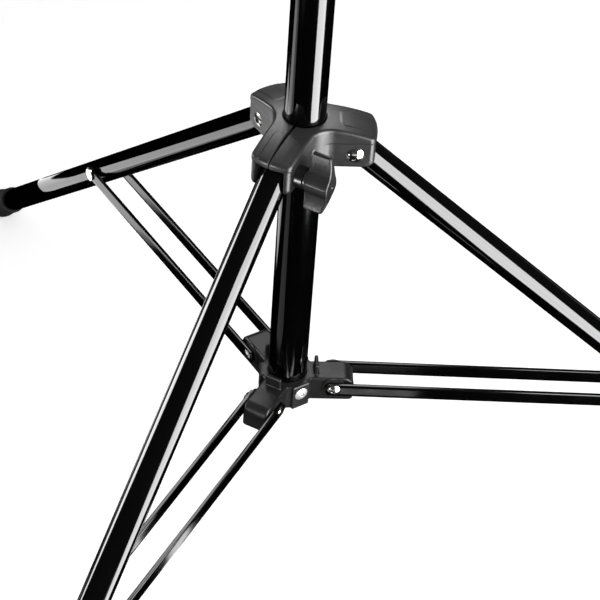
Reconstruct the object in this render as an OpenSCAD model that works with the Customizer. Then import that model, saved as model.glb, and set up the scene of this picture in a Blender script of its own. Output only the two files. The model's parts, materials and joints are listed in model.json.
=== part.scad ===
// Folding light stand: three strutted tubular legs on a sliding collar, a fixed
// lower hub, and a three-section telescopic column with a spigot on top.
// The origin is the point of the floor under the column's axis, +Z is up, and the
// right leg points along +X. The stand is drawn with its legs open and its column down.

/* [Column] */
// Outside diameter of the main tube
main_d = 25; // [24.5:0.1:26]
// Wall of the main tube
main_wall = 1.2; // [1:0.1:1.2]
// Height of the main tube's upper end above the floor
main_top_z = 783; // [770:1:830]
// Outside diameter of the middle tube
mid_d = 22; // [21:0.1:22]
// Outside diameter of the top tube
top_d = 19; // [18:0.1:19]
// Wall of the middle and top tubes
inner_wall = 1; // [0.8:0.1:1]

/* [Leg geometry] */
// Lean of an open leg from upright, in degrees
open_lean = 48.2; // [40:0.1:55]
// Lean of a folded leg from upright, in degrees
fold_lean = 3; // [3:0.1:5]
// Height of the leg rivets above the strut pivots with the legs open
spread_h = 192; // [185:1:200]
// Travel of the collar from open to folded
collar_travel = 325.5; // [320:0.5:330]
// Distance of the leg rivets from the column's axis
leg_pivot_r = 30; // [30:0.1:31]
// Distance of the strut pivots from the column's axis
hub_pivot_r = 30; // [29:0.1:31]
// Distance from a leg rivet to the end of the foot, along the leg
leg_len = 553; // [530:1:570]

/* [Legs and struts] */
// Outside diameter of a leg tube
leg_d = 18; // [17:0.1:18]
// Wall of a leg tube
leg_wall = 1; // [0.8:0.1:1.5]
// Radius of a rubber foot
foot_r = 11.5; // [10.5:0.1:12]
// Length of a rubber foot
foot_len = 36; // [30:1:40]
// Width of a strut bar
strut_w = 9.2; // [8:0.1:10]
// Thickness of a strut bar
strut_t = 2.5; // [2:0.1:3]
// Distance between the two bars of a pair
strut_gap = 19.1; // [19:0.1:20]

/* [Collar] */
// Half the width of a lobe
lobe_half_w = 13.2; // [13:0.1:14]
// Distance of a lobe's outer end from the column's axis
lobe_end_r = 43; // [41:0.5:45]
// Radius of the hollow between two lobes, seen from above
lobe_fillet_r = 18; // [14:0.5:20]
// Radius of the domed top
collar_dome_r = 114; // [105:1:130]
// Height of the dome's apex above the leg rivets
collar_apex = 20.2; // [19:0.1:21]
// Depth of the collar below the leg rivets
collar_drop = 9.5; // [8:0.1:10]

/* [Lower hub] */
// Half the width of an arm
arm_half_w = 8.4; // [8:0.1:8.4]
// Distance of an arm's outer end from the column's axis
arm_end_r = 43; // [41:0.1:44]
// Height of the hub above the strut pivots
hub_up = 7.2; // [7:0.1:9]
// Depth of the hub below the strut pivots
hub_down = 11.6; // [9:0.1:12]

/* [Wing knobs and tube clamps] */
// Distance between the rounded tips of a knob's wing
knob_span = 37; // [32:1:38]
// Length of a knob along its bolt, to the apex of its domed end
knob_h = 16.6; // [15:0.1:18]
// Radius of a knob's hub
knob_hub_r = 6.3; // [5.8:0.1:6.5]
// Radius of a knob's wing tips
knob_tip_r = 1.8; // [1.5:0.1:2.5]
// Radius of the domed end, seen from the side
knob_dome_r = 48; // [40:1:60]
// Radius of the spacer between a clamp and its knob
spacer_r = 6.9; // [6.5:0.1:7.5]
// Length of that spacer
spacer_len = 5.4; // [4:0.1:6]
// Turn of a wing from upright, in degrees
knob_turn = 13; // [-45:1:45]
// Radius of the clamp bolts
bolt_r = 3; // [2.5:0.1:3]
// Height of a tube clamp
clamp_h = 48; // [46:1:52]
// Depth of the outer tube in its clamp
clamp_seat = 26; // [24:1:28]

/* [Spigot] */
// Diameter of the spigot
spigot_d = 16; // [15.8:0.1:16]
// Length of the spigot
spigot_len = 36; // [30:1:45]
// Diameter of the threaded stud on the spigot, over its thread
stud_d = 6.35; // [6.3:0.05:9.5]
// Length of the threaded stud
stud_len = 10; // [8:1:14]

/* [Hidden] */
$fn = 64;

// The three sides of the stand, as turns about the column's axis
RIGHT = 0;
REAR = 1;
FRONT = 2;

// Radial clearance of a running fit, and the gap of a fixed fit
run = 0.05;
fixed = 0.02;
// How far a cutter runs past the face that it cuts
over = 1;

// The floor cuts this much off the lower rim of each foot, so that the sole is flat
sole_cut = 5;
// Rubber between the end of a leg tube and the end of its foot
foot_end = 7;
// Height of the leg rivets, and of the strut pivots, above the floor
collar_z = leg_len * cos(open_lean) + foot_r * sin(open_lean) - sole_cut;
hub_z = collar_z - spread_h;

// Distance from a leg's pivot to its strut rivet, such that the leg, the strut and the
// column close their triangle both open and folded
out_r = leg_pivot_r - hub_pivot_r;
fold_h = spread_h + collar_travel;
rivet_dist = (pow(fold_h, 2) - pow(spread_h, 2)) / 2
    / (out_r * (sin(open_lean) - sin(fold_lean)) + fold_h * cos(fold_lean) - spread_h * cos(open_lean));
strut_run = out_r + rivet_dist * sin(open_lean);
strut_rise = spread_h - rivet_dist * cos(open_lean);
strut_len = norm([strut_run, strut_rise]);
strut_tilt = atan2(strut_rise, strut_run);

// Legs
leg_head = 7.5;
plug_cap = 1.5;
plug_depth = 20;
leg_swing_r = norm([leg_head, leg_d / 2]) + 0.4;

// Rivets
leg_rivet_r = 3.2;
strut_rivet_r = 2.5;
fixing_shank_r = 2.4;
rivet_dome_r = 5.3;
strut_dome_r = 4.5;
dome_h = 2.2;
roll_h = 1;
washer_r = 7.5;
washer_t = 1.05;
strut_face = strut_gap / 2 + strut_t;
strut_play = 0.1;

// Collar
lobe_foot_r = 5;
side_step = 0.4;
side_step_z = 8.5;
lobe_face = lobe_half_w - side_step;
channel_half_w = leg_d / 2 + 0.4;
channel_root_r = leg_pivot_r - leg_swing_r;
channel_top = 7.5;
slit_root = 2.6;
slit_tip = 0.7;

// Lower hub
core_r = 17.2;
pad_r = 17.8;
pad_half_w = 6.3;
arm_shoulder_r = 6.7;
arm_foot_r = 3;
tab_r = 17.3;
tab_t = 2.5;
tab_half_w = 5.4;
tab_h = 8.2;
hub_plug_cap = 2;

// Bolts, knobs and clamps
knob_gap = 0.2;
knob_neck = 1.6;
knob_y = lobe_face + spacer_len + knob_gap;
insert_r = 4.4;
insert_len = 11;
insert_end = 0.5;
bolt_end = 10;
bolt_head_r = 6;
bolt_head_h = 3;
clamp_wall = 5;
clamp_bolt_r = 21;
clamp_bolt_z = clamp_h - 13;
clamp_ear_end = 31;
clamp_ear_h = 27;
clamp_slit = 2;
clamp_gap = 2;
lower_clamp_z = main_top_z - clamp_seat;
upper_clamp_z = lower_clamp_z + clamp_h + clamp_gap;

// Inner tubes
main_bore_d = main_d - 2 * main_wall;
mid_bore_d = mid_d - 2 * inner_wall;
top_bore_d = top_d - 2 * inner_wall;
bush_flange = 8;
bush_plug = 15;
mid_low_z = hub_z + 24;
mid_top_z = upper_clamp_z + clamp_seat;
top_low_z = mid_low_z + bush_plug + bush_flange + 2;
top_top_z = upper_clamp_z + clamp_h + clamp_gap;
spigot_base_h = 8;
spigot_plug = 25;

// Finishes
gloss_black = [0.02, 0.02, 0.02];
dark_grey = [0.20, 0.20, 0.21];
soft_black = [0.05, 0.05, 0.05];
steel = [0.80, 0.80, 0.80];

// Placing frames. A side frame has +X away from the column and +Y round it, anticlockwise.
module side(i) {
    rotate([0, 0, 120 * i]) children();
}

// The leg runs along -Z from its pivot
module leg_frame(i) {
    side(i) translate([leg_pivot_r, 0, collar_z]) rotate([0, -open_lean, 0]) children();
}

// The strut runs along +X from its pivot
module strut_frame(i) {
    side(i) translate([hub_pivot_r, 0, hub_z]) rotate([0, -strut_tilt, 0]) children();
}

// A clamp bolt runs along +Y, and the slit that it closes is the plane y = 0
module bolt_frame(r, z) {
    side(FRONT) translate([r, 0, z]) children();
}

// A cylinder along +Y from y0 to y1
module rod_y(r, y0, y1) {
    translate([0, y0, 0]) rotate([-90, 0, 0]) cylinder(r = r, h = y1 - y0);
}

// The hub's fixing rivet points along +Y from the face of its pad, between the front and right arms
module fixing_frame() {
    rotate([0, 0, -60]) translate([pad_r, 0, hub_z]) rotate([0, 0, -90]) children();
}

// A flat shape in the XZ plane, thickened from y0 to y1
module plate_y(y0, y1) {
    translate([0, y1, 0]) rotate([90, 0, 0]) linear_extrude(y1 - y0) children();
}

module tube(outer_d, bore_d, z0, z1) {
    difference() {
        translate([0, 0, z0]) cylinder(d = outer_d, h = z1 - z0);
        translate([0, 0, z0 - over]) cylinder(d = bore_d, h = z1 - z0 + 2 * over);
    }
}

// A low dome of radius r and height h, standing on the plane y = 0 towards +Y
module dome_y(r, h) {
    ball_r = (r * r + h * h) / (2 * h);
    intersection() {
        translate([0, h - ball_r, 0]) sphere(r = ball_r);
        rod_y(r, 0, h);
    }
}

// A tubular rivet along Y: a domed head at y0 and a rolled, open end at y1
module tube_rivet(shank_r, head_r, y0, y1) {
    roll_r = shank_r + 1.2;
    hole_r = shank_r - 1;
    hole_depth = 6;
    difference() {
        union() {
            translate([0, y0, 0]) mirror([0, 1, 0]) dome_y(head_r, dome_h);
            rod_y(shank_r, y0, y1);
            translate([0, y1, 0]) dome_y(roll_r, roll_h);
        }
        rod_y(hole_r, y1 - hole_depth, y1 + roll_h + over);
    }
}

// Column

module main_tube() {
    color(gloss_black) difference() {
        tube(main_d, main_bore_d, hub_z - hub_down + hub_plug_cap, main_top_z);
        fixing_frame() rod_y(fixing_shank_r + fixed, -main_d, 0);
    }
}

module hub_plug() {
    plug_len = 6;
    color(soft_black) translate([0, 0, hub_z - hub_down]) {
        cylinder(d = main_d - 0.5, h = hub_plug_cap);
        cylinder(d = main_bore_d - 2 * fixed, h = plug_len);
    }
}

// An arm of the hub from the side, with its outer end rounded above and below
module arm_profile() {
    low_x = arm_end_r - arm_foot_r;
    top_x = arm_end_r - arm_shoulder_r;
    polygon([
        [0, -hub_down], [low_x, -hub_down], [low_x, arm_foot_r - hub_down],
        [arm_end_r, arm_foot_r - hub_down], [arm_end_r, hub_up - arm_shoulder_r],
        [top_x, hub_up - arm_shoulder_r], [top_x, hub_up], [0, hub_up]
    ]);
    translate([low_x, arm_foot_r - hub_down]) circle(r = arm_foot_r);
    translate([top_x, hub_up - arm_shoulder_r]) circle(r = arm_shoulder_r);
}

// An upright tab at an arm's root, with a round top
module tab_profile() {
    translate([tab_r, hub_up - over]) square([tab_t, tab_h + over - tab_t / 2]);
    translate([tab_r + tab_t / 2, hub_up + tab_h - tab_t / 2]) circle(d = tab_t);
}

module lower_hub() {
    color(dark_grey) translate([0, 0, hub_z]) difference() {
        union() {
            translate([0, 0, -hub_down]) cylinder(r = core_r, h = hub_up + hub_down);
            for (i = [0:2]) {
                side(i) plate_y(-arm_half_w, arm_half_w) arm_profile();
                side(i) plate_y(-tab_half_w, tab_half_w) tab_profile();
                rotate([0, 0, 60 + 120 * i]) translate([0, -pad_half_w, -hub_down])
                    cube([pad_r, 2 * pad_half_w, hub_up + hub_down]);
            }
        }
        translate([0, 0, -hub_down - over])
            cylinder(d = main_d + 2 * fixed, h = hub_up + hub_down + tab_h + 2 * over);
        for (i = [0:2]) {
            side(i) translate([hub_pivot_r, 0, 0])
                rod_y(strut_rivet_r + fixed, -arm_half_w - over, arm_half_w + over);
        }
        translate([0, 0, -hub_z]) fixing_frame() rod_y(fixing_shank_r + fixed, -pad_r, over);
    }
}

module hub_washers() {
    color(soft_black) for (i = [0:2], s = [0, 1]) side(i) translate([hub_pivot_r, 0, hub_z])
        mirror([0, s, 0]) difference() {
            rod_y(washer_r, arm_half_w, arm_half_w + washer_t);
            rod_y(strut_rivet_r + fixed, 0, arm_half_w + 2 * washer_t);
        }
}

// The blind rivet that holds the hub to the tube, with a dimpled head
module hub_fixing_rivet() {
    head_h = 1.5;
    dimple_r = 1.3;
    dimple_floor = 0.7;
    tail = 1.5;
    color(steel) fixing_frame() difference() {
        union() {
            dome_y(strut_dome_r, head_h);
            rod_y(fixing_shank_r, main_bore_d / 2 - pad_r - tail, 0);
        }
        rod_y(dimple_r, dimple_floor, head_h + over);
    }
}

module hub_pivot_rivets() {
    seat = strut_face + strut_play;
    color(steel) for (i = [0:2]) side(i) translate([hub_pivot_r, 0, hub_z])
        tube_rivet(strut_rivet_r, strut_dome_r, -seat, seat);
}

// Collar

// The collar from above: three lobes with round outer ends, and a round hollow between each two
module collar_outline() {
    hollow_d = (lobe_half_w + lobe_fillet_r) / sin(60);
    hollow = hollow_d * [cos(60), sin(60)];
    touch_x = hollow_d / 2;
    far = lobe_end_r + 5;
    difference() {
        intersection() {
            circle(r = lobe_end_r);
            polygon([for (i = [0:2], p = [
                [far, -lobe_half_w], [far, lobe_half_w], [touch_x, lobe_half_w], hollow,
                turned([touch_x, -lobe_half_w], 120)
            ]) turned(p, 120 * i)]);
        }
        for (i = [0:2]) rotate(120 * i) translate(hollow) circle(r = lobe_fillet_r);
    }
}

function turned(p, angle) = [
    p.x * cos(angle) - p.y * sin(angle), p.x * sin(angle) + p.y * cos(angle)
];

// The leg's channel in a lobe, open below and outwards, with room for the leg's end to swing
module lobe_channel(i) {
    reach = lobe_end_r + 5;
    side(i) {
        translate([channel_root_r, -channel_half_w, collar_z - collar_drop - over])
            cube([reach, 2 * channel_half_w, collar_drop + over + channel_top]);
        translate([leg_pivot_r, 0, collar_z]) rod_y(leg_swing_r, -channel_half_w, channel_half_w);
    }
}

// The rounding of a lobe's lower outer corner
module lobe_foot_cut(i) {
    x = lobe_end_r - lobe_foot_r;
    z = lobe_foot_r - collar_drop;
    side(i) translate([0, 0, collar_z]) plate_y(-2 * lobe_half_w, 2 * lobe_half_w) difference() {
        translate([x, -collar_drop - over]) square([lobe_foot_r + over, lobe_foot_r + over]);
        translate([x, z]) circle(r = lobe_foot_r);
    }
}

// The shallow step down a lobe's two side faces
module lobe_side_step(i) {
    step_x = 15;
    side(i) for (s = [0, 1]) mirror([0, s, 0])
        translate([step_x, lobe_face, collar_z - collar_drop - over])
            cube([lobe_end_r, 2 * side_step, side_step_z + collar_drop + over]);
}

// The clamp slit in the front lobe, wide at the bore and closing outwards
module collar_slit() {
    side(FRONT) translate([0, 0, collar_z - collar_drop - over])
        linear_extrude(collar_drop + collar_apex + 2 * over)
            polygon([[0, -slit_root / 2], [lobe_end_r + over, -slit_tip / 2],
                [lobe_end_r + over, slit_tip / 2], [0, slit_root / 2]]);
}

module upper_collar() {
    low_z = collar_z - collar_drop;
    // The flared rim of the bore
    rim_h = 1.2;
    flare_h = 3;
    flare_w = 3;
    // The dome's height over the bore's edge
    dome_low_z = collar_z + collar_apex - collar_dome_r;
    bore_top_z = dome_low_z + sqrt(pow(collar_dome_r, 2) - pow(main_d / 2, 2));
    color(dark_grey) difference() {
        intersection() {
            translate([0, 0, low_z]) linear_extrude(collar_drop + collar_apex) collar_outline();
            translate([0, 0, dome_low_z]) sphere(r = collar_dome_r, $fn = 128);
        }
        translate([0, 0, low_z - over])
            cylinder(d = main_d + 2 * run, h = collar_drop + collar_apex + 2 * over);
        translate([0, 0, bore_top_z - rim_h])
            cylinder(d1 = main_d + 2 * run, d2 = main_d + 2 * (run + flare_w), h = flare_h);
        for (i = [0:2]) {
            lobe_channel(i);
            lobe_foot_cut(i);
            lobe_side_step(i);
        }
        for (i = [RIGHT, REAR]) side(i) translate([leg_pivot_r, 0, collar_z])
            rod_y(leg_rivet_r + fixed, -2 * lobe_half_w, 2 * lobe_half_w);
        bolt_frame(leg_pivot_r, collar_z) rod_y(bolt_r + fixed, -2 * lobe_half_w, 2 * lobe_half_w);
        collar_slit();
    }
}

module collar_rivets() {
    color(steel) for (i = [RIGHT, REAR]) side(i) translate([leg_pivot_r, 0, collar_z])
        tube_rivet(leg_rivet_r, rivet_dome_r, -lobe_face, lobe_face);
}

// Clamp bolts and wing knobs

// A round-headed bolt along +Y, its head against the clamp and its end in the knob
module clamp_bolt() {
    color(steel) {
        translate([0, -lobe_face, 0]) mirror([0, 1, 0]) dome_y(bolt_head_r, bolt_head_h);
        rod_y(bolt_r, -lobe_face, knob_y + bolt_end);
    }
}

// The round spacer that the knob turns against
module knob_spacer() {
    color(steel) difference() {
        rod_y(spacer_r, lobe_face, lobe_face + spacer_len);
        rod_y(bolt_r + fixed, 0, lobe_face + spacer_len + over);
    }
}

// A wing seen along its bolt: a round hub between two flanks that narrow to round tips
module wing_outline() {
    tip_x = knob_span / 2 - knob_tip_r;
    root_y = 0.8 * knob_hub_r;
    tip_y = 0.95 * knob_tip_r;
    polygon([
        [-tip_x, -tip_y], [0, -root_y], [tip_x, -tip_y], [tip_x, tip_y], [0, root_y], [-tip_x, tip_y]
    ]);
    circle(r = knob_hub_r);
    for (x = [-tip_x, tip_x]) translate([x, 0]) circle(r = knob_tip_r);
}

// A wing with a domed outer end, on a short round neck
module wing_knob() {
    apex_y = knob_y + knob_h;
    color(soft_black) difference() {
        union() {
            intersection() {
                rotate([0, 90 - knob_turn, 0]) plate_y(knob_y + knob_neck, apex_y + over) wing_outline();
                translate([0, apex_y - knob_dome_r, 0]) sphere(r = knob_dome_r);
            }
            rod_y(knob_hub_r, knob_y, knob_y + 2 * knob_neck);
        }
        rod_y(insert_r + fixed, knob_y - over, knob_y + insert_len + fixed);
    }
}

module knob_insert() {
    color(steel) difference() {
        rod_y(insert_r, knob_y, knob_y + insert_len);
        rod_y(bolt_r + run, knob_y - over, knob_y + insert_len - insert_end);
    }
}

module collar_bolt() {
    bolt_frame(leg_pivot_r, collar_z) clamp_bolt();
}

module collar_spacer() {
    bolt_frame(leg_pivot_r, collar_z) knob_spacer();
}

module collar_knob() {
    bolt_frame(leg_pivot_r, collar_z) wing_knob();
}

module collar_knob_insert() {
    bolt_frame(leg_pivot_r, collar_z) knob_insert();
}

// Legs

module leg(i) {
    low = leg_len - foot_end;
    color(gloss_black) leg_frame(i) difference() {
        tube(leg_d, leg_d - 2 * leg_wall, -low, leg_head - plug_cap);
        rod_y(leg_hole_r(i), -leg_d, leg_d);
        translate([0, 0, -rivet_dist]) rod_y(strut_rivet_r + run, -leg_d, leg_d);
    }
}

// The hole that a leg turns on: round the front leg's bolt, or round a rivet
function leg_hole_r(i) = (i == FRONT ? bolt_r : leg_rivet_r) + run;

module leg_plug(i) {
    plug_r = leg_d / 2 - leg_wall - fixed;
    color(soft_black) leg_frame(i) difference() {
        union() {
            translate([0, 0, -plug_depth]) cylinder(r = plug_r, h = plug_depth + leg_head);
            translate([0, 0, leg_head - plug_cap]) cylinder(d = leg_d, h = plug_cap);
        }
        rod_y(leg_hole_r(i), -leg_d, leg_d);
    }
}

// A bush across the leg tube, which keeps the strut rivet from crushing it
module leg_bush(i) {
    bush_r = 4;
    half = sqrt(pow(leg_d / 2 - leg_wall, 2) - bush_r * bush_r) - fixed;
    color(soft_black) leg_frame(i) translate([0, 0, -rivet_dist]) difference() {
        rod_y(bush_r, -half, half);
        rod_y(strut_rivet_r + run, -leg_d, leg_d);
    }
}

// A rubber cap on the leg's end, cut flat where it stands on the floor
module foot(i) {
    lip_r = foot_r - 1;
    bore_r = leg_d / 2 + fixed;
    end_round = 2.5;
    heel_len = 12;
    lip_z = 16;
    color(soft_black) difference() {
        leg_frame(i) translate([0, 0, -leg_len]) rotate_extrude() difference() {
            union() {
                translate([0, end_round]) square([foot_r, heel_len - end_round]);
                square([foot_r - end_round, end_round]);
                translate([foot_r - end_round, end_round]) circle(r = end_round);
                polygon([
                    [0, heel_len], [foot_r, heel_len], [lip_r, lip_z], [lip_r, foot_len], [0, foot_len]
                ]);
            }
            translate([-foot_r, 0]) square([foot_r, foot_len]);
            translate([0, foot_end]) square([bore_r, foot_len]);
        }
        side(i) translate([0, -2 * foot_r, -3 * foot_r]) cube([leg_len, 4 * foot_r, 3 * foot_r]);
    }
}

// Struts

// One bar of a pair: s is 1 on the anticlockwise side of the leg, and -1 on the other
module strut(i, s) {
    end_r = strut_w / 2 + 1.2;
    y0 = s > 0 ? strut_gap / 2 : -strut_face;
    color(gloss_black) strut_frame(i) plate_y(y0, y0 + strut_t) difference() {
        union() {
            translate([0, -strut_w / 2]) square([strut_len, strut_w]);
            for (x = [0, strut_len]) translate([x, 0]) intersection() {
                circle(r = end_r);
                square([3 * strut_w, strut_w], center = true);
            }
        }
        for (x = [0, strut_len]) translate([x, 0]) circle(r = strut_rivet_r + run);
    }
}

// The rivet at the strut's outer end: its two heads and the shank inside each bar. The shank
// stops short of the leg tube, because the leg and its struts turn on separate pivots.
module strut_rivets(i) {
    flat_h = 1.2;
    shank_r = strut_rivet_r;
    shank_len = strut_t;
    color(steel) strut_frame(i) translate([strut_len, 0, 0]) {
        rod_y(shank_r, strut_face - shank_len, strut_face);
        rod_y(strut_dome_r, strut_face, strut_face + flat_h);
        rod_y(shank_r, -strut_face, shank_len - strut_face);
        translate([0, -strut_face, 0]) mirror([0, 1, 0]) dome_y(strut_dome_r, dome_h);
    }
}

// Tube clamps and inner tubes

// A clamp pressed on the end of one tube, which closes on the next tube by a slit and a bolt
module tube_clamp(outer_d, inner_d, z0) {
    ear_bevel = 4;
    ear_z = clamp_h - clamp_ear_h;
    slit_z = clamp_seat + 2;
    color(dark_grey) translate([0, 0, z0]) difference() {
        union() {
            cylinder(d = outer_d + 2 * clamp_wall, h = clamp_h);
            side(FRONT) translate([0, 0, ear_z]) linear_extrude(clamp_ear_h - 1) polygon([
                [0, -lobe_face], [clamp_ear_end - ear_bevel, -lobe_face],
                [clamp_ear_end, ear_bevel - lobe_face], [clamp_ear_end, lobe_face - ear_bevel],
                [clamp_ear_end - ear_bevel, lobe_face], [0, lobe_face]
            ]);
        }
        translate([0, 0, -over]) cylinder(d = outer_d + 2 * fixed, h = clamp_seat + over);
        cylinder(d = inner_d + 2 * run, h = clamp_h + over);
        side(FRONT) translate([0, -clamp_slit / 2, slit_z])
            cube([clamp_ear_end + over, clamp_slit, clamp_h]);
        bolt_frame(clamp_bolt_r, clamp_bolt_z) rod_y(bolt_r + fixed, -2 * lobe_face, 2 * lobe_face);
    }
}

module lower_clamp() {
    tube_clamp(main_d, mid_d, lower_clamp_z);
}

module lower_clamp_bolt() {
    bolt_frame(clamp_bolt_r, lower_clamp_z + clamp_bolt_z) clamp_bolt();
}

module lower_clamp_spacer() {
    bolt_frame(clamp_bolt_r, lower_clamp_z + clamp_bolt_z) knob_spacer();
}

module lower_clamp_knob() {
    bolt_frame(clamp_bolt_r, lower_clamp_z + clamp_bolt_z) wing_knob();
}

module lower_clamp_insert() {
    bolt_frame(clamp_bolt_r, lower_clamp_z + clamp_bolt_z) knob_insert();
}

module upper_clamp() {
    tube_clamp(mid_d, top_d, upper_clamp_z);
}

module upper_clamp_bolt() {
    bolt_frame(clamp_bolt_r, upper_clamp_z + clamp_bolt_z) clamp_bolt();
}

module upper_clamp_spacer() {
    bolt_frame(clamp_bolt_r, upper_clamp_z + clamp_bolt_z) knob_spacer();
}

module upper_clamp_knob() {
    bolt_frame(clamp_bolt_r, upper_clamp_z + clamp_bolt_z) wing_knob();
}

module upper_clamp_insert() {
    bolt_frame(clamp_bolt_r, upper_clamp_z + clamp_bolt_z) knob_insert();
}

module mid_tube() {
    color(gloss_black) tube(mid_d, mid_bore_d, mid_low_z, mid_top_z);
}

module top_tube() {
    color(gloss_black) tube(top_d, top_bore_d, top_low_z, top_top_z);
}

// A bush in a tube's lower end, whose flange runs in the bore of the tube outside it
module guide_bush(z, plug_d, flange_d) {
    color(soft_black) {
        translate([0, 0, z - bush_flange]) cylinder(d = flange_d - 2 * run, h = bush_flange);
        translate([0, 0, z - bush_flange]) cylinder(d = plug_d - 2 * fixed, h = bush_flange + bush_plug);
    }
}

module mid_bush() {
    guide_bush(mid_low_z, mid_bore_d, main_bore_d);
}

module top_bush() {
    guide_bush(top_low_z, top_bore_d, mid_bore_d);
}

// A spigot with a waist for a locking screw, and a threaded stud on its end
module top_spigot() {
    groove_r = spigot_d / 2 - 1.5;
    groove_z = 11;
    groove_h = 12;
    edge = 1;
    base_r = top_d / 2 + 1.5;
    color(steel) translate([0, 0, top_top_z]) {
        translate([0, 0, -spigot_plug]) cylinder(d = top_bore_d - 2 * fixed, h = spigot_plug);
        rotate_extrude() polygon([
            [0, 0], [base_r, 0], [base_r, spigot_base_h - edge], [base_r - edge, spigot_base_h],
            [spigot_d / 2, spigot_base_h],
            [spigot_d / 2, spigot_base_h + groove_z],
            [groove_r, spigot_base_h + groove_z + 1.5],
            [groove_r, spigot_base_h + groove_z + groove_h - 1.5],
            [spigot_d / 2, spigot_base_h + groove_z + groove_h],
            [spigot_d / 2, spigot_base_h + spigot_len - edge],
            [spigot_d / 2 - edge, spigot_base_h + spigot_len],
            [0, spigot_base_h + spigot_len]
        ]);
        translate([0, 0, spigot_base_h + spigot_len]) cylinder(d = stud_d, h = stud_len);
    }
}

main_tube();
hub_plug();
lower_hub();
hub_fixing_rivet();
hub_pivot_rivets();
hub_washers();
upper_collar();
collar_rivets();
collar_bolt();
collar_spacer();
collar_knob();
collar_knob_insert();
leg(RIGHT);  // leg_right
leg(REAR);  // leg_rear
leg(FRONT);  // leg_front
leg_plug(RIGHT);  // leg_plug_right
leg_plug(REAR);  // leg_plug_rear
leg_plug(FRONT);  // leg_plug_front
leg_bush(RIGHT);  // leg_bush_right
leg_bush(REAR);  // leg_bush_rear
leg_bush(FRONT);  // leg_bush_front
foot(RIGHT);  // foot_right
foot(REAR);  // foot_rear
foot(FRONT);  // foot_front
strut(RIGHT, -1);  // strut_right_1
strut(RIGHT, 1);  // strut_right_2
strut(REAR, -1);  // strut_rear_1
strut(REAR, 1);  // strut_rear_2
strut(FRONT, -1);  // strut_front_1
strut(FRONT, 1);  // strut_front_2
strut_rivets(RIGHT);  // strut_rivets_right
strut_rivets(REAR);  // strut_rivets_rear
strut_rivets(FRONT);  // strut_rivets_front
lower_clamp();
lower_clamp_bolt();
lower_clamp_spacer();
lower_clamp_knob();
lower_clamp_insert();
mid_tube();
mid_bush();
upper_clamp();
upper_clamp_bolt();
upper_clamp_spacer();
upper_clamp_knob();
upper_clamp_insert();
top_tube();
top_bush();
top_spigot();
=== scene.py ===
import json
import math

import bmesh
import bpy
import numpy as np
from mathutils import Euler, Matrix, Vector
from mathutils.geometry import tessellate_polygon


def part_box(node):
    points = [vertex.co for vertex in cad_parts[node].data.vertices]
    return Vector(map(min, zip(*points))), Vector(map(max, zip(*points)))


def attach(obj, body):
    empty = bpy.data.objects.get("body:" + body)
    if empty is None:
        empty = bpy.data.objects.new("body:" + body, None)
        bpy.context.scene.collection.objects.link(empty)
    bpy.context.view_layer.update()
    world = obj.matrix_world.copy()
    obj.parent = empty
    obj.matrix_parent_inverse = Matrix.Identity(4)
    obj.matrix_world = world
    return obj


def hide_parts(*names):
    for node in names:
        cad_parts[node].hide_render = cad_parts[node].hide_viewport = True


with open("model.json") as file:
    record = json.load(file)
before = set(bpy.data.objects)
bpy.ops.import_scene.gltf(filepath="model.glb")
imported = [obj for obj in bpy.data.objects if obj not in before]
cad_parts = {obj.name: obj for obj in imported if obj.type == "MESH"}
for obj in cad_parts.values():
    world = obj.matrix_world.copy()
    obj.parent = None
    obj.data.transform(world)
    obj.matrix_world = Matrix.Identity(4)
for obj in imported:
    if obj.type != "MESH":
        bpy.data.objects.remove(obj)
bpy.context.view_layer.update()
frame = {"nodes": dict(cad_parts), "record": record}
nodes = frame["nodes"]

scene = bpy.context.scene
scene.view_settings.view_transform = "Standard"

# Sizes in millimetres, and angles, as in the part's source
SIDES = ("right", "rear", "front")
SIDE_TURN = 120
COLLAR_Z = 372.1654
HUB_Z = 180.1654
PIVOT_R = 30.0
OPEN_LEAN = math.radians(48.2)
STRUT_TILT = math.radians(-1.53882)
STRUT_LEN = 221.4721
LEG_LEN = 553.0
KNOB_Y = 18.4
KNOB_TURN = math.radians(13.0)
CLAMP_BOLT_R = 21.0
CLAMP_BOLT_Z = 35.0
LOWER_CLAMP_Z = 757.0
UPPER_CLAMP_Z = 807.0
MAIN_R = 12.5
MID_R = 11.0
TOP_R = 9.5
PAD_R = 17.8
BAR_IN = 9.55
BAR_OUT = 12.05
UP = np.array([0.0, 0.0, 1.0])
MM_PER_M = 1000

# Edges sharper than this stay sharp under smooth shading
SHARP = math.radians(35)


def side_axes(i):
    """Unit vectors out from the column and round it, anticlockwise, for one side of the stand."""
    a = math.radians(SIDE_TURN * i)
    return np.array([math.cos(a), math.sin(a), 0.0]), np.array([-math.sin(a), math.cos(a), 0.0])


def put(points, origin, ex, ey, ez):
    """Points of a local frame in the part's frame."""
    return origin + points[:, 0:1] * ex + points[:, 1:2] * ey + points[:, 2:3] * ez


# Shapes given by a distance: negative inside, positive outside

def round_meet(a, b, r):
    """Where both shapes are, with the edge between them rounded."""
    u = np.maximum(a + r, 0.0)
    v = np.maximum(b + r, 0.0)
    return np.minimum(np.maximum(a, b), -r) + np.hypot(u, v)


def round_join(a, b, r):
    """Where either shape is, with the corner between them filled."""
    return -round_meet(-a, -b, r)


def ramp(x, low, high):
    """A smooth rise from 0 at low to 1 at high."""
    t = np.clip((x - low) / (high - low), 0.0, 1.0)
    return t * t * (3.0 - 2.0 * t)


def fold3(x, y):
    """Distance out and offset on the nearest side of the stand, and that side's number."""
    turn = np.round(np.degrees(np.arctan2(y, x)) / SIDE_TURN)
    a = np.radians(SIDE_TURN * turn)
    return x * np.cos(a) + y * np.sin(a), y * np.cos(a) - x * np.sin(a), turn % len(SIDES)


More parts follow.
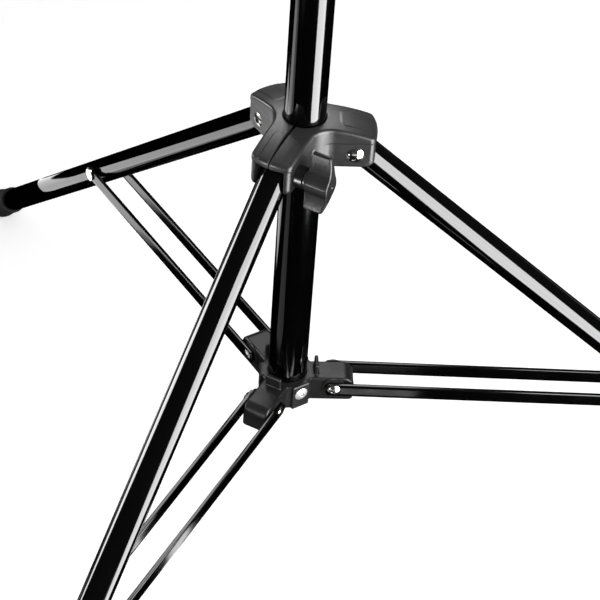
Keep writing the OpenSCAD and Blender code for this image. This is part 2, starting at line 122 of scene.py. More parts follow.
def collar_field(x, y, z):
    """The sliding collar. z counts from the leg pivots."""
    half_w, end_r, hollow_r, drop = 13.2, 43.0, 18.0, 9.5
    apex, dome_r, bore_r = 20.2, 114.0, 12.6
    end_round, side_round, top_round, foot_round, bore_round = 5.0, 2.6, 1.7, 0.6, 1.1
    out, across, side = fold3(x, y)
    off = np.abs(across)
    r = np.hypot(x, y)

    # Three lobes with hollows between them, set in a little below a line on their flanks
    inset, inset_start, inset_full, line_low, line_top = 0.4, 12.0, 14.5, 8.2, 8.8
    hollow_x = (half_w + hollow_r) / math.sin(math.radians(SIDE_TURN / 2)) / 2
    hollow = hollow_r - np.hypot(out - hollow_x, off - half_w - hollow_r)
    flank = np.where(out < hollow_x, hollow, off - half_w)
    flank = flank + inset * ramp(out, inset_start, inset_full) * (1 - ramp(z, line_low, line_top))
    low = -drop - z
    end = round_meet(r - end_r, low, end_round)

    # A domed top with a slightly raised panel on each lobe, and the bore for the main tube
    panel_w, panel_start, panel_round, panel_rise, panel_edge = 7.4, 21.0, 3.0, 0.25, 0.3
    panel = round_meet(off - panel_w, panel_start - out, panel_round)
    rise = panel_rise * (1 - ramp(panel, -panel_edge, panel_edge))
    top = np.sqrt(r * r + (z - apex + dome_r) ** 2) - dome_r - rise
    body = round_meet(round_meet(flank, end, side_round), top, top_round)
    body = round_meet(body, low, foot_round)
    body = round_meet(body, bore_r - r, bore_round)

    # A channel for each leg, with room for the leg's end to turn
    channel_w, channel_back, channel_roof, swing_r, channel_round = 9.4, 17.9, 7.5, 12.1, 0.7
    swing = np.hypot(out - PIVOT_R, z) - swing_r
    channel = np.minimum(np.maximum(channel_back - out, z - channel_roof), swing)
    channel = np.maximum(channel, off - channel_w)
    body = round_meet(body, -channel, channel_round)

    # The clamp's slit through the front lobe, narrower towards the lobe's end
    slit_half, slit_taper, slit_round, nowhere = 1.3, 0.95, 0.35, 5.0
    front = (side == SIDES.index("front")) & (out > 0)
    slit = off - (slit_half - slit_taper * np.clip(out, 0, end_r) / end_r)
    slit = np.where(front, slit, nowhere)
    return round_meet(body, -slit, slit_round)


def hub_field(x, y, z):
    """The fixed hub. z counts from the strut pivots."""
    up, down, core_r, core_round, bore_round = 7.2, 11.6, 17.2, 1.2, 0.5
    out, across, _ = fold3(x, y)
    off = np.abs(across)
    r = np.hypot(x, y)
    tall = np.maximum(z - up, -down - z)
    core = round_meet(r - core_r, tall, core_round)

    # An arm to each side, with a rounded nose
    arm_end, arm_half, nose_round, under_round, arm_round = 43.0, 8.4, 6.7, 3.0, 1.4
    arm = round_meet(round_meet(out - arm_end, z - up, nose_round), -down - z, under_round)
    arm = round_meet(arm, off - arm_half, arm_round)

    # A flat pad between each two arms
    pad_half, pad_side_round, pad_round, pad_fillet = 6.3, 0.8, 1.0, 0.4
    between = math.radians(SIDE_TURN / 2)
    c, s = math.cos(between), math.sin(between)
    pad_out = out * c + off * s
    pad_off = np.abs(off * c - out * s)
    pad = round_meet(round_meet(pad_out - PAD_R, pad_off - pad_half, pad_side_round), tall, pad_round)

    # An upright tab on each arm
    tab_at, tab_half, tab_half_w, tab_top = 18.55, 1.25, 5.4, 15.4
    tab_side_round, tab_round, tab_fillet = 0.9, 1.2, 0.8
    tab = round_meet(np.abs(out - tab_at) - tab_half, off - tab_half_w, tab_side_round)
    tab = round_meet(tab, np.abs(z - tab_top / 2) - tab_top / 2, tab_round)

    body = round_join(np.minimum(arm, core), tab, tab_fillet)
    body = round_join(body, pad, pad_fillet)
    return round_meet(body, MAIN_R - r, bore_round)


def wing_field(along, wide, thick):
    """A wing knob: along its bolt from its inner face, along its wing, and across it."""
    hub_r, tip_r, tip_x, length, dome_r = 6.3, 1.8, 16.7, 16.6, 48.0
    edge_round, back, back_round, fillet = 1.1, 1.6, 0.8, 2.0
    reach = np.abs(wide)
    r = np.hypot(wide, thick)

    # Two hollow-sided wings with rounded tips. lean allows for the slope of their sides.
    bow, lean = 0.6, 0.96
    t = np.clip(reach / tip_x, 0.0, 1.0)
    half = hub_r - (hub_r - tip_r) * t * (1 + bow - bow * t)
    flank = (np.abs(thick) - half) * lean
    blade = np.where(reach > tip_x, np.hypot(reach - tip_x, thick) - tip_r, flank)
    shape = round_join(blade, r - hub_r, fillet)

    # A domed front with a dimple in its middle
    dimple_r, dimple_up, dimple_round = 1.1, 0.3, 0.2
    dome = np.sqrt(r * r + (along - length + dome_r) ** 2) - dome_r
    dome = round_meet(dome, dimple_r - np.hypot(r, along - length - dimple_up), dimple_round)
    shape = round_meet(shape, dome, edge_round)
    shape = round_meet(shape, back - along, back_round)

    # A round neck at the inner face
    neck_r, neck_len, neck_round = 6.2, 6.0, 0.4
    neck = round_meet(r - neck_r, np.abs(along - neck_len / 2) - neck_len / 2, neck_round)
    return np.minimum(shape, neck)


def clamp_field(tube_r, inner_r):
    """A tube clamp, with its ears along x and z counted from its lower end."""
    height, wall, body_round, end_round = 48.0, 5.0, 1.4, 1.0
    ear_end, ear_half_w, ear_mid, ear_half_h = 31.0, 12.8, 34.0, 13.0
    ear_side_round, ear_round, fillet = 3.6, 1.6, 2.0
    ledge, bore_round = 26.0, 0.5
    slit_half, slit_low, slit_round = 1.0, 28.0, 0.4

    def field(x, y, z):
        r = np.hypot(x, y)
        tall = np.abs(z - height / 2) - height / 2
        body = round_meet(r - tube_r - wall, tall, body_round)
        ear = round_meet(x - ear_end, np.abs(y) - ear_half_w, ear_side_round)
        ear = round_meet(ear, np.abs(z - ear_mid) - ear_half_h, ear_round)
        ear = np.maximum(ear, -x)
        shape = round_join(body, ear, fillet)
        shape = round_meet(shape, tall, end_round)
        bore = np.where(z < ledge, tube_r, inner_r)
        shape = round_meet(shape, bore - r, bore_round)
        slit = np.maximum(np.maximum(np.abs(y) - slit_half, slit_low - z), -x)
        return round_meet(shape, -slit, slit_round)

    return field


def slope(field, points, e):
    """The field's gradient at some points."""
    steps = []
    for axis in range(3):
        shift = np.zeros(3)
        shift[axis] = e
        steps.append((field(*(points + shift).T) - field(*(points - shift).T)) / (2 * e))
    return np.stack(steps, 1)


def skin(field, low, high, step):
    """Vertices, quads and normals of the surface where a field is zero, by surface nets."""
    low = np.asarray(low, float)
    size = np.ceil((np.asarray(high, float) - low) / step).astype(int) + 1
    grid = np.meshgrid(*[low[n] + step * np.arange(size[n]) for n in range(3)], indexing="ij")
    value = field(*grid)
    inside = value < 0
    cells = tuple(n - 1 for n in size)

    def corner(a, c):
        return a[c[0]:c[0] + cells[0], c[1]:c[1] + cells[1], c[2]:c[2] + cells[2]]

    total = np.zeros(cells + (3,))
    count = np.zeros(cells)
    for a in [(i, j, k) for i in (0, 1) for j in (0, 1) for k in (0, 1)]:
        for axis in range(3):
            if a[axis]:
                continue
            b = list(a)
            b[axis] = 1
            va, vb = corner(value, a), corner(value, b)
            cross = corner(inside, a) != corner(inside, b)
            share = np.where(cross, va / np.where(cross, va - vb, 1.0), 0.0)
            for n in range(3):
                total[..., n] += np.where(cross, a[n] + (share if n == axis else 0.0), 0.0)
            count += cross
    used = count > 0
    index = np.full(cells, -1)
    index[used] = np.arange(used.sum())
    points = low + step * (np.argwhere(used) + total[used] / count[used][:, None])
    quads = []
    for axis in range(3):
        b, c = (axis + 1) % 3, (axis + 2) % 3
        near, far = [slice(None)] * 3, [slice(None)] * 3
        near[axis], far[axis] = slice(0, -1), slice(1, None)
        start = inside[tuple(near)]
        spot = np.argwhere(start != inside[tuple(far)])
        ring = []
        for db, dc in ((-1, -1), (0, -1), (0, 0), (-1, 0)):
            q = spot.copy()
            q[:, b] += db
            q[:, c] += dc
            ring.append(index[tuple(q.T)])
        ring = np.stack(ring, 1)
        quads.append(np.where(start[tuple(spot.T)][:, None], ring, ring[:, ::-1]))
    # Two steps along the slope bring the points onto the surface
    least, tiny = 0.1, 1e-9
    for _ in range(2):
        g = slope(field, points, step / 8)
        move = field(*points.T)[:, None] * g / np.maximum((g * g).sum(1), least)[:, None]
        points = points - np.clip(move, -step / 2, step / 2)
    normals = slope(field, points, step / 3)
    normals /= np.maximum(np.linalg.norm(normals, axis=1), tiny)[:, None]
    return points, np.concatenate(quads), normals


# Turned and flat shapes

def lathe(profile, segments, thread=None):
    """A profile of (radius, height) points from axis to axis, turned about z.
    thread, where given, makes a point's radius from its plain radius, height and angle."""
    angles = np.arange(segments) * 2 * math.pi / segments
    points, rings = [], []
    for r, z in profile:
        if r == 0:
            rings.append([len(points)] * segments)
            points.append((0.0, 0.0, z))
            continue
        rings.append(list(range(len(points), len(points) + segments)))
        for a in angles:
            here = thread(r, z, a) if thread else r
            points.append((here * math.cos(a), here * math.sin(a), z))
    faces = []
    for lower, upper in zip(rings, rings[1:]):
        for k in range(segments):
            n = (k + 1) % segments
            quad = (lower[k], lower[n], upper[n], upper[k])
            faces.append(tuple(dict.fromkeys(quad)))
    return np.array(points), [f for f in faces if len(f) > 2]


def bar_outline(half_w, end_r, length, arc):
    """The outline of a flat bar whose ends are arcs about its two holes."""
    lean = math.asin(half_w / end_r)
    turns = np.linspace(-lean, lean, arc)
    far = [(length + end_r * math.cos(a), end_r * math.sin(a)) for a in turns]
    return far + [(length - x, -y) for x, y in far]


def bar(y0, y1):
    """A strut: a flat bar with rounded edges and two holes, in its own frame."""
    half_w, end_r, hole_r, edge = 4.6, 5.8, 2.55, 0.5
    arc, turns, steps = 14, 32, 5
    hole = np.arange(turns) * 2 * math.pi / turns
    points, loops = [], []

    def loop(flat, y):
        loops.append(list(range(len(points), len(points) + len(flat))))
        points.extend((x, y, z) for x, z in flat)

    for k in range(2 * steps):
        side = k // steps
        a = math.pi / 2 * (k % steps) / (steps - 1)
        inset = edge * (1 - (math.cos(a) if side else math.sin(a)))
        y = y1 - edge * (1 - math.sin(a)) if side else y0 + edge * (1 - math.cos(a))
        loop(bar_outline(half_w - inset, end_r - inset, STRUT_LEN, arc), y)
    for x in (0.0, STRUT_LEN):
        for y in (y0, y1):
            loop([(x + hole_r * math.cos(a), hole_r * math.sin(a)) for a in hole], y)
    outer, holes = loops[:2 * steps], loops[2 * steps:]
    faces = []
    for lower, upper in zip(outer, outer[1:]):
        n = len(lower)
        faces += [(lower[k], upper[k], upper[(k + 1) % n], lower[(k + 1) % n]) for k in range(n)]
    for lower, upper in (holes[:2], holes[2:]):
        for k in range(turns):
            n = (k + 1) % turns
            faces.append((lower[k], lower[n], upper[n], upper[k]))
    for rim, cuts, flip in ((outer[0], holes[0::2], False), (outer[-1], holes[1::2], True)):
        around = [rim, *cuts]
        flat = [[Vector((points[k][0], points[k][2], 0.0)) for k in ring] for ring in around]
        names = [k for ring in around for k in ring]
        for tri in tessellate_polygon(flat):
            a, b, c = (names[k] for k in tri)
            (ax, _, az), (bx, _, bz), (cx, _, cz) = points[a], points[b], points[c]
            wound = (bx - ax) * (cz - az) - (bz - az) * (cx - ax) > 0
            faces.append((a, b, c) if wound != flip else (a, c, b))
    return np.array(points), faces


# Materials

# The values of noise and pointiness between which a pattern comes in, and how edges lighten, partly
# as wear and partly as a painted highlight
SOFT_DETAIL = 3.0
SOFT_RANGE = (0.3, 0.7)
FINE_DETAIL = 2.0
FINE_RANGE = (0.35, 0.75)
FINE_SHARE = 0.5
EDGE_RANGE = (0.52, 0.60)
RUBBED_AND_LIT_GAIN = 2.2
RUBBED_AND_LIT_LIFT = 0.02

# The numbers of a Mix node's colour sockets, whose names its other sockets share
COLOUR_A = 6
COLOUR_B = 7
COLOUR_OUT = 2


def blank(name):
    """A new material, with its nodes and links."""
    material = bpy.data.materials.new(name)
    material.use_nodes = True
    return material, material.node_tree.nodes, material.node_tree.links


def finish(name, colour, spread, rough, grain, bump, specular=0.5, metallic=0.0,
           cloud=60.0, edge_wear_and_highlight=0.0, stretch=(1.0, 1.0, 1.0)):
    """A surface with mottled colour, uneven roughness and a fine grain.
    rough is a range, cloud and grain count per metre, bump is the grain's depth in metres,
    and worn is how far the edges are lightened, partly as wear and partly as a painted highlight."""
    material, tree, links = blank(name)
    shader = tree["Principled BSDF"]
    shader.inputs["Metallic"].default_value = metallic
    shader.inputs["Specular IOR Level"].default_value = specular
    where = tree.new("ShaderNodeTexCoord")
    mapping = tree.new("ShaderNodeMapping")
    mapping.inputs["Scale"].default_value = stretch
    links.new(where.outputs["Object"], mapping.inputs["Vector"])

    def noise(scale, detail):
        n = tree.new("ShaderNodeTexNoise")
        n.inputs["Scale"].default_value = scale
        n.inputs["Detail"].default_value = detail
        links.new(mapping.outputs["Vector"], n.inputs["Vector"])
        return n.outputs["Fac"]

    def fit(value, low, high, to_low, to_high):
        n = tree.new("ShaderNodeMapRange")
        ends = {"From Min": low, "From Max": high, "To Min": to_low, "To Max": to_high}
        for key, number in ends.items():
            n.inputs[key].default_value = number
        links.new(value, n.inputs["Value"])
        return n.outputs["Result"]

    def blend(factor, first, second):
        n = tree.new("ShaderNodeMix")
        n.data_type = "RGBA"
        links.new(factor, n.inputs["Factor"])
        for socket, value in ((n.inputs[COLOUR_A], first), (n.inputs[COLOUR_B], second)):
            if isinstance(value, tuple):
                socket.default_value = (*value, 1.0)
            else:
                links.new(value, socket)
        return n.outputs[COLOUR_OUT]

    soft = noise(cloud, SOFT_DETAIL)
    fine = noise(grain, FINE_DETAIL)
    dark = tuple(c * (1 - spread) for c in colour)
    pale = tuple(c * (1 + spread) for c in colour)
    mottle = blend(fit(soft, *SOFT_RANGE, 0.0, 1.0), dark, pale)
    mottle = blend(fit(fine, *FINE_RANGE, 0.0, FINE_SHARE), mottle, pale)
    # Sharp edges are lightened, partly as wear and partly as a painted highlight where rounded edges
    # catch light
    if edge_wear_and_highlight:
        shape = tree.new("ShaderNodeNewGeometry")
        edge = fit(shape.outputs["Pointiness"], *EDGE_RANGE, 0.0, edge_wear_and_highlight)
        rubbed_and_lit = tuple(min(1.0, c * RUBBED_AND_LIT_GAIN + RUBBED_AND_LIT_LIFT) for c in colour)
        mottle = blend(edge, mottle, rubbed_and_lit)
    links.new(mottle, shader.inputs["Base Color"])
    links.new(fit(soft, *SOFT_RANGE, *rough), shader.inputs["Roughness"])
    relief = tree.new("ShaderNodeBump")
    relief.inputs["Strength"].default_value = 1.0
    relief.inputs["Distance"].default_value = bump
    links.new(fine, relief.inputs["Height"])
    links.new(relief.outputs["Normal"], shader.inputs["Normal"])
    return material


gloss_black = finish("gloss_black", (0.0010, 0.0010, 0.00105), spread=0.25, rough=(0.05, 0.10),
                     grain=900.0, bump=2e-6, cloud=25.0)
grey_moulding = finish("grey_moulding", (0.022, 0.022, 0.0226), spread=0.18, rough=(0.30, 0.40),
                       grain=2600.0, bump=60e-6, edge_wear_and_highlight=0.4)
# The hub's moulding is darker and less glossy than the collar's
hub_moulding = finish("hub_moulding", (0.012, 0.012, 0.0124), spread=0.18, rough=(0.32, 0.42),
                      grain=2600.0, bump=60e-6, specular=0.3, edge_wear_and_highlight=0.4)
knob_black = finish("knob_black", (0.019, 0.019, 0.0195), spread=0.25, rough=(0.24, 0.34),
                    grain=2400.0, bump=70e-6, edge_wear_and_highlight=0.4)
nylon_black = finish("nylon_black", (0.010, 0.010, 0.010), spread=0.2, rough=(0.35, 0.50),
                     grain=1500.0, bump=20e-6)
rubber = finish("rubber", (0.016, 0.016, 0.016), spread=0.25, rough=(0.65, 0.85),
                grain=1800.0, bump=80e-6, specular=0.3)
strut_paint = finish("strut_paint", (0.0012, 0.0012, 0.0013), spread=0.2, rough=(0.10, 0.15),
                     grain=1200.0, bump=4e-6, specular=0.4)
moulded_black = finish("moulded_black", (0.006, 0.006, 0.006), spread=0.2, rough=(0.26, 0.34),
                       grain=1500.0, bump=3e-6)
bright_steel = finish("bright_steel", (0.74, 0.73, 0.70), spread=0.05, rough=(0.14, 0.20),
                      grain=2000.0, bump=0.5e-6, metallic=1.0)
satin_rivet = finish("satin_rivet", (0.50, 0.50, 0.50), spread=0.06, rough=(0.45, 0.55),
                     grain=2200.0, bump=10e-6, metallic=0.4)
brass = finish("brass", (0.72, 0.58, 0.30), spread=0.08, rough=(0.18, 0.28),
               grain=1800.0, bump=10e-6, metallic=1.0)
turned_steel = finish("turned_steel", (0.74, 0.74, 0.75), spread=0.06, rough=(0.18, 0.28),
                      grain=500.0, bump=10e-6, metallic=1.0, stretch=(0.2, 0.2, 8.0))


# Pieces

def piece(name, points, faces, material, body, replaced, normals=None):
    """An object from points in millimetres, which rides on a body in place of a CAD node."""
    mesh = bpy.data.meshes.new(name)
    mesh.from_pydata((points / MM_PER_M).tolist(), [], [tuple(int(k) for k in f) for f in faces])
    mesh.shade_smooth()
    if normals is None:
        mesh.set_sharp_from_angle(angle=SHARP)
    else:
        mesh.normals_split_custom_set_from_vertices(normals.tolist())
    mesh.materials.append(material)
    obj = bpy.data.objects.new(name, mesh)
    scene.collection.objects.link(obj)
    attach(obj, body)
    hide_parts(replaced)
    return obj


def moulded(name, field, space, frame_at, material, body, replaced):
    """A piece from a distance field, set in a frame of origin and three axes.
    space is the field's low and high corner and the size of its cells."""
    points, quads, normals = skin(field, *space)
    origin, *axes = frame_at
    piece(name, put(points, origin, *axes), quads, material, body, replaced,
          put(normals, np.zeros(3), *axes))


# Collar and hub
COLLAR_SPACE = ((-45, -45, -11), (45, 45, 22), 0.55)
HUB_SPACE = ((-45, -45, -13), (45, 45, 17), 0.55)
X, Y = side_axes(0)
moulded("collar_moulding", collar_field, COLLAR_SPACE, (UP * COLLAR_Z, X, Y, UP),
        grey_moulding, "collar", "upper_collar")
moulded("hub_moulding", hub_field, HUB_SPACE, (UP * HUB_Z, X, Y, UP),
        hub_moulding, "column", "lower_hub")

# Wing knobs, all on the front side
WING_SPACE = ((-1, -19.5, -7.5), (18, 19.5, 7.5), 0.35)
front_out, front_round = side_axes(SIDES.index("front"))
wing_down = front_out * math.sin(KNOB_TURN) - UP * math.cos(KNOB_TURN)
wing_across = np.cross(front_round, wing_down)
for label, out_r, z, node in (
        ("collar_wing", PIVOT_R, COLLAR_Z, "collar_knob"),
        ("lower_clamp_wing", CLAMP_BOLT_R, LOWER_CLAMP_Z + CLAMP_BOLT_Z, "lower_clamp_knob"),
        ("upper_clamp_wing", CLAMP_BOLT_R, UPPER_CLAMP_Z + CLAMP_BOLT_Z, "upper_clamp_knob")):
    seat = front_out * out_r + UP * z + front_round * KNOB_Y
    moulded(label, wing_field, WING_SPACE, (seat, front_round, wing_down, wing_across),
            knob_black, node, node)

# Tube clamps
CLAMP_SPACE = ((-19, -19, -1), (33, 19, 49), 0.6)
for label, tube_r, inner_r, z, body, node in (
        ("lower_clamp_moulding", MAIN_R, MID_R, LOWER_CLAMP_Z, "column", "lower_clamp"),
        ("upper_clamp_moulding", MID_R, TOP_R, UPPER_CLAMP_Z, "mid_section", "upper_clamp")):
    moulded(label, clamp_field(tube_r, inner_r), CLAMP_SPACE, (UP * z, front_out, front_round, UP),
            grey_moulding, body, node)

# Struts: the first bar of a pair is on the clockwise side of its leg
for i, label in enumerate(SIDES):
    out, around = side_axes(i)
    along = out * math.cos(STRUT_TILT) + UP * math.sin(STRUT_TILT)
    over = UP * math.cos(STRUT_TILT) - out * math.sin(STRUT_TILT)
    pivot = out * PIVOT_R + UP * HUB_Z
    for number, (y0, y1) in ((1, (-BAR_OUT, -BAR_IN)), (2, (BAR_IN, BAR_OUT))):
        points, faces = bar(y0, y1)
        piece(f"bar_{label}_{number}", put(points, pivot, along, around, over), faces,
              strut_paint, f"struts_{label}", f"strut_{label}_{number}")

# Rubber feet: ribbed caps, cut flat where they stand on the floor
SOLE_R = 9.0
FOOT_R = 11.5
NECK_R = 10.5
GROOVE_R = 10.1
GROOVE_Z = 18.0
GROOVE_PITCH = 4.0
GROOVES = 4
SOCKET_R = 9.02
SOCKET_Z = 7.0
FOOT_LEN = 36.0
sole_round = FOOT_R - SOLE_R
foot_profile = [(0.0, 0.0), (SOLE_R, 0.0)]
for a in np.linspace(0.2, math.pi / 2, 7):
    foot_profile.append((SOLE_R + sole_round * math.sin(a), sole_round - sole_round * math.cos(a)))
foot_profile += [(FOOT_R, 11.6), (11.4, 12.2), (10.6, 15.8), (NECK_R, 16.4)]
for groove in range(GROOVES):
    z = GROOVE_Z + GROOVE_PITCH * groove
    foot_profile += [(NECK_R, z), (GROOVE_R, z + 0.4), (GROOVE_R, z + 1.2), (NECK_R, z + 1.6)]
foot_profile += [(NECK_R, FOOT_LEN - 0.6), (NECK_R - 0.6, FOOT_LEN)]
foot_profile += [(SOCKET_R, FOOT_LEN), (SOCKET_R, SOCKET_Z), (0.0, SOCKET_Z)]
foot_points, foot_faces = lathe(foot_profile, 72)
for i, label in enumerate(SIDES):
    out, around = side_axes(i)
    up_leg = UP * math.cos(OPEN_LEAN) - out * math.sin(OPEN_LEAN)
    tip = out * PIVOT_R + UP * COLLAR_Z - up_leg * LEG_LEN
    points = put(foot_points, tip, np.cross(around, up_leg), around, up_leg)
    obj = piece(f"rubber_foot_{label}", points, foot_faces,
                rubber, f"leg_{label}", f"foot_{label}")
    cut = bmesh.new()
    cut.from_mesh(obj.data)
    bmesh.ops.bisect_plane(cut, geom=cut.verts[:] + cut.edges[:] + cut.faces[:], dist=1e-6,
                           plane_co=(0, 0, 0), plane_no=(0, 0, 1), clear_inner=True)
    rim = [e for e in cut.edges if e.is_boundary]
    bmesh.ops.triangle_fill(cut, edges=rim, use_beauty=True)
    bmesh.ops.recalc_face_normals(cut, faces=cut.faces[:])
    cut.to_mesh(obj.data)
    cut.free()
    obj.data.set_sharp_from_angle(angle=SHARP)

# Spigot, with a thread on its stud
SPIGOT_R = 8.0
SPIGOT_TOP = 54.0
PLUG_R = 8.48
STUD_R = 3.175
STUD_Z = 44.0
THREAD_LOW = STUD_Z + 0.6
THREAD_PITCH = 1.27
THREAD_DEPTH = 0.75
_, spigot_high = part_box("top_spigot")
spigot_z = spigot_high.z * MM_PER_M - SPIGOT_TOP


def stud_thread(r, z, angle):
    """The radius of the stud's thread, which fades in over its first turn."""
    if z < THREAD_LOW:
        return r
    turn = (z / THREAD_PITCH - angle / (2 * math.pi)) % 1.0
    fade = min(1.0, (z - THREAD_LOW) / THREAD_PITCH)
    return r - fade * THREAD_DEPTH * abs(2 * turn - 1)


spigot_profile = [
    (0.0, -25.0), (SPIGOT_R, -25.0), (PLUG_R, -24.4), (PLUG_R, 0.0),
    (10.6, 0.0), (11.0, 0.4), (11.0, 6.9), (10.7, 7.7), (10.0, 8.0), (SPIGOT_R, 8.0),
    (SPIGOT_R, 19.0), (7.8, 19.3), (6.6, 20.4), (6.5, 20.7),
    (6.5, 29.3), (6.6, 29.6), (7.8, 30.7), (SPIGOT_R, 31.0),
    (SPIGOT_R, 43.0), (7.8, 43.6), (7.0, STUD_Z), (STUD_R, STUD_Z)]
spigot_profile += [(STUD_R, STUD_Z + 0.16 * k) for k in range(1, 60)]
spigot_profile += [(2.6, SPIGOT_TOP), (0.0, SPIGOT_TOP)]
points, faces = lathe(spigot_profile, 64, stud_thread)
piece("spigot", points + UP * spigot_z, faces,
      turned_steel, "top_section", "top_spigot")

# Fixing rivet: a domed head round the broken end of its mandrel
HEAD_R = 4.5
HEAD_RIM = 0.15
HEAD_RISE = 1.3
rivet_profile = [(0.0, -8.0), (2.4, -8.0), (2.4, 0.0), (4.3, 0.0), (HEAD_R, HEAD_RIM)]
for r in (4.2, 3.8, 3.3, 2.8, 2.3, 1.9, 1.6):
    rivet_profile.append((r, HEAD_RIM + HEAD_RISE * (1 - (r / HEAD_R) ** 2)))
rivet_profile += [(1.45, 1.2), (1.35, 0.25), (0.95, 0.2), (0.9, 0.75), (0.7, 0.9), (0.0, 0.95)]
points, faces = lathe(rivet_profile, 48)
pad_turn = math.radians(-SIDE_TURN / 2)
pad_out = np.array([math.cos(pad_turn), math.sin(pad_turn), 0.0])
rivet_seat = pad_out * PAD_R + UP * HUB_Z
piece("fixing_rivet", put(points, rivet_seat, np.cross(UP, pad_out), UP, pad_out), faces,
      satin_rivet, "column", "hub_fixing_rivet")

# Materials of the pieces that keep their CAD shape
finishes = {"tube_black": gloss_black, "nylon_black": nylon_black, "rivet_steel": bright_steel,
            "bolt_steel": bright_steel, "insert_brass": brass}
spacers = ("collar_spacer", "lower_clamp_spacer", "upper_clamp_spacer")
for row in frame["record"]["subparts"]:
    material = moulded_black if row["node"] in spacers else finishes.get(row["material_slot"])
    if material:
        mesh = nodes[row["node"]].data
        mesh.materials.clear()
        mesh.materials.append(material)

# Stage, with sizes in metres from here on
FLOOR_HALF = 60.0
FLAG_LOW = (-1.6, -1.6)
FLAG_HIGH = (1.6, 2.6)
FLAG_Z = 0.003


def sheet(name, low, high, z, material):
    """A flat stage sheet between two corners."""
    mesh = bpy.data.meshes.new(name)
    (x0, y0), (x1, y1) = low, high
    mesh.from_pydata([(x0, y0, z), (x1, y0, z), (x1, y1, z), (x0, y1, z)], [], [(0, 1, 2, 3)])
    mesh.materials.append(material)
    obj = bpy.data.objects.new(name, mesh)
    scene.collection.objects.link(obj)
    return obj


# The floor is a pale matt sheet that shows as white, and keeps the shadow
FLOOR_LIFT = 0.60
floor_material, floor_tree, floor_links = blank("floor")
floor_shader = floor_tree["Principled BSDF"]
floor_shader.inputs["Base Color"].default_value = (0.72, 0.72, 0.72, 1.0)
floor_shader.inputs["Roughness"].default_value = 0.9
floor_shader.inputs["Specular IOR Level"].default_value = 0.0
floor_shader.inputs["Emission Color"].default_value = (1.0, 1.0, 1.0, 1.0)
path = floor_tree.new("ShaderNodeLightPath")
seen = floor_tree.new("ShaderNodeMath")
seen.operation = "MAXIMUM"
floor_links.new(path.outputs["Is Camera Ray"], seen.inputs[0])
floor_links.new(path.outputs["Is Glossy Ray"], seen.inputs[1])
seen_through = floor_tree.new("ShaderNodeMath")
seen_through.operation = "MAXIMUM"
floor_links.new(seen.outputs[0], seen_through.inputs[0])
floor_links.new(path.outputs["Is Transmission Ray"], seen_through.inputs[1])
lift = floor_tree.new("ShaderNodeMath")
lift.operation = "MULTIPLY"
lift.inputs[1].default_value = FLOOR_LIFT
floor_links.new(seen_through.outputs[0], lift.inputs[0])
floor_links.new(lift.outputs[0], floor_shader.inputs["Emission Strength"])
sheet("floor", (-FLOOR_HALF, -FLOOR_HALF), (FLOOR_HALF, FLOOR_HALF), 0.0, floor_material)

# A dark card under the stand, which only reflections show
flag_material, flag_tree, _ = blank("flag")
flag_shader = flag_tree["Principled BSDF"]
flag_shader.inputs["Base Color"].default_value = (0.0, 0.0, 0.0, 1.0)
flag_shader.inputs["Specular IOR Level"].default_value = 0.0
flag = sheet("flag", FLAG_LOW, FLAG_HIGH, FLAG_Z, flag_material)
flag.visible_camera = False
flag.visible_diffuse = False
flag.visible_shadow = False
flag.visible_transmission = False

# World and lights
world = bpy.data.worlds.new("world")
scene.world = world
world.use_nodes = True
sky = world.node_tree.nodes["Background"]
sky.inputs["Color"].default_value = (1.0, 1.0, 1.0, 1.0)
sky.inputs["Strength"].default_value = 0.04


def area_light(name, place, width, height, radiance, diffuse):
    """A rectangular light of a given brightness, for matt surfaces or for reflections."""
    lamp = bpy.data.lights.new(name, "AREA")
    lamp.shape = "RECTANGLE"
    lamp.size = width
    lamp.size_y = height
    lamp.energy = radiance * math.pi * width * height
    obj = bpy.data.objects.new(name, lamp)
    obj.location = place
    obj.visible_camera = False
    obj.visible_diffuse = diffuse
    obj.visible_glossy = not diffuse
    scene.collection.objects.link(obj)
    return obj


def soft_light(name, place, target, width, height, radiance, diffuse=False):
    """An area light that faces a target."""
    obj = area_light(name, place, width, height, radiance, diffuse)
    obj.rotation_euler = (Vector(target) - Vector(place)).to_track_quat("-Z", "Y").to_euler()


def spot(azimuth, radius, z):
    """A place round the column, by its angle in degrees, distance and height."""
    a = math.radians(azimuth)
    return (radius * math.cos(a), radius * math.sin(a), z)


def card(name, corner, first, second, radiance):
    """An area light that fills the rectangle which two edges span from a corner."""
    first, second = Vector(first), Vector(second)
    middle = Vector(corner) + (first + second) / 2
    obj = area_light(name, middle, first.length, second.length, radiance, False)
    axes = (first.normalized(), second.normalized(), first.cross(second).normalized())
    obj.rotation_euler = Matrix(axes).transposed().to_euler()


# Lights for matt surfaces: place, what they face, width, height and brightness
soft_light("overhead", (0.5, -0.6, 2.2), (0.0, 0.1, 0.2), 1.8, 1.8, 3.6, diffuse=True)
soft_light("front_key", (0.75, -1.4, 0.95), (0.0, 0.0, 0.3), 1.3, 1.3, 5.0, diffuse=True)

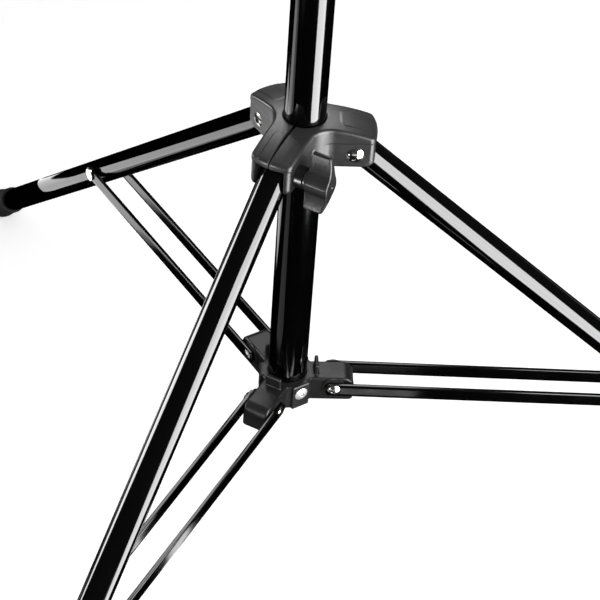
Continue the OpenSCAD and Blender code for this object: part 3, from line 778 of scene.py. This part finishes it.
# Lights that only reflections show
soft_light("right_strip", spot(-40.5, 0.42, 0.27), (0.0, 0.0, 0.27), 0.32, 0.54, 15.0)
soft_light("left_strip", (-1.46, 0.44, 0.52), (-0.06, -0.10, 0.29), 0.60, 0.62, 15.0)
soft_light("front_strip", spot(-140, 0.80, 0.17), (0.0, 0.0, 0.37), 0.16, 0.22, 40.0)
soft_light("rear_top", (0.01, 0.52, 0.91), (0.0, 0.0, 0.39), 0.44, 0.42, 6.6)

# Cards that only reflections show: a corner, two edges and the brightness.
# rear_edge is a dimmer strip along the right edge of rear_card.
CARD_Z = 0.008
card("rear_card", (-0.1489, 0.0997, 0.1301),
     (-0.2881, -0.0518, -0.0495), (-0.0396, 0.2676, -0.0498), 2.1)
card("rear_edge", (-0.1373, 0.1018, 0.1321),
     (-0.0116, -0.0021, -0.0020), (-0.0202, 0.1362, -0.0253), 0.7)
card("left_card", (-0.48, -0.05, CARD_Z), (-0.24, 0.0, 0.0), (0.0, 0.20, 0.0), 2.2)
card("fade_card", (-0.48, -0.17, CARD_Z), (-0.24, 0.0, 0.0), (0.0, 0.12, 0.0), 0.9)
card("dim_card", (-0.1663, -0.1801, CARD_Z), (-0.1782, -0.0908, 0.0), (-0.0772, 0.1515, 0.0), 0.45)
card("front_card", (0.0098, -0.0909, 0.10), (0.0058, -0.0160, 0.0), (-0.0518, -0.0187, 0.0), 3.4)
card("strut_card", (0.110, -0.194, CARD_Z), (-0.065, 0.0, 0.0), (0.0, 0.012, 0.0), 3.4)

# Camera, as fitted to the photograph: place in metres, turns in degrees
CAMERA_PLACE = (-0.07002, -0.97288, 1.12009)
CAMERA_TURNS = (48.1079, -3.1004, -1.6299)
camera_data = bpy.data.cameras.new("camera")
camera_data.lens = 125.69
camera_data.sensor_width = 36.0
camera = bpy.data.objects.new("camera", camera_data)
camera.location = CAMERA_PLACE
camera.rotation_euler = Euler([math.radians(a) for a in CAMERA_TURNS], "XYZ")
scene.collection.objects.link(camera)
scene.camera = camera
